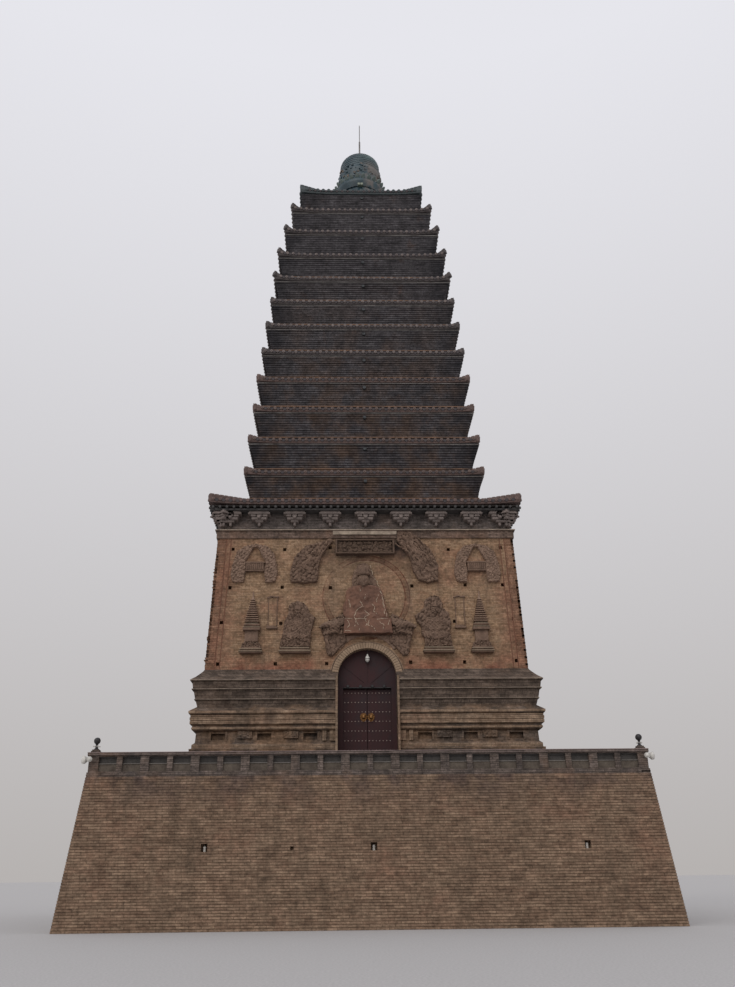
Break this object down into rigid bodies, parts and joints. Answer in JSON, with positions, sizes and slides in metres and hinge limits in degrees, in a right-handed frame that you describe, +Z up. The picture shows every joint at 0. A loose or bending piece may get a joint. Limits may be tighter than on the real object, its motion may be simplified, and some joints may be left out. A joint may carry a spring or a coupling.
{
  "type": "brick pagoda, 1:2 scale model",
  "caption": "Square dense-eave brick pagoda on a battered terrace, with a hollow first storey, a pair of hinged doors and a domed finial, as a 1:2 scale model.",
  "frame": {"origin": "middle of the terrace at ground level", "axes": "+Z up, the doorway faces -Y, +X to the right of someone facing the door"},
  "size_m": [10.42, 10.42, 22.5],
  "materials": {
    "terrace_brick": "weathered grey-brown brick",
    "pedestal_brick": "moulded brick with pale fillets",
    "wall_brick": "ochre limewash worn off brick",
    "eave_brick": "dark weathered brick and grey tile",
    "pale_stone": "pale dressed stone",
    "door_wood": "dark maroon painted timber",
    "dome_glaze": "weathered dark green glaze",
    "black_paint": "black painted metal",
    "white_paint": "white painted metal",
    "gilt_brass": "worn gilt on cast brass",
    "rod_iron": "weathered iron"
  },
  "bodies": {
    "building": {"terrace": "terrace_brick", "parapet_front": "terrace_brick", "parapet_back": "terrace_brick", "parapet_left": "terrace_brick", "parapet_right": "terrace_brick", "corner_lamp_1": "black_paint", "corner_lamp_2": "black_paint", "corner_lamp_3": "black_paint", "corner_lamp_4": "black_paint", "floodlights_left": "white_paint", "floodlights_right": "white_paint", "door_steps": "pale_stone", "chamber_floor": "pale_stone", "pedestal_front_left": "pedestal_brick", "pedestal_front_right": "pedestal_brick", "pedestal_left": "pedestal_brick", "pedestal_right": "pedestal_brick", "pedestal_back": "pedestal_brick", "wall_front_left": "wall_brick", "wall_front_right": "wall_brick", "wall_over_door": "wall_brick", "wall_left": "wall_brick", "wall_right": "wall_brick", "wall_back": "wall_brick", "arch_ring": "pale_stone", "door_frame": "door_wood", "transom_panel": "door_wood", "architrave": "wall_brick", "bracket_course": "eave_brick", "main_eave": "eave_brick", "eave_02": "eave_brick", "eave_03": "eave_brick", "eave_04": "eave_brick", "eave_05": "eave_brick", "eave_06": "eave_brick", "eave_07": "eave_brick", "eave_08": "eave_brick", "eave_09": "eave_brick", "eave_10": "eave_brick", "eave_11": "eave_brick", "eave_12": "eave_brick", "eave_13": "eave_brick", "finial_base": "dome_glaze", "finial_dome": "dome_glaze", "finial_rod": "rod_iron"},
    "left_leaf": {"left_door": "door_wood"},
    "right_leaf": {"right_door": "door_wood"}
  },
  "joints": [
    {"name": "left_door_hinge", "type": "hinge", "parent": "building", "child": "left_leaf", "pos_m": [-0.555, -3.06, 2.95], "axis": [0, 0, 1], "range_deg": [0, 90]},
    {"name": "right_door_hinge", "type": "hinge", "parent": "building", "child": "right_leaf", "pos_m": [0.555, -3.06, 2.95], "axis": [0, 0, -1], "range_deg": [0, 90]}
  ]
}
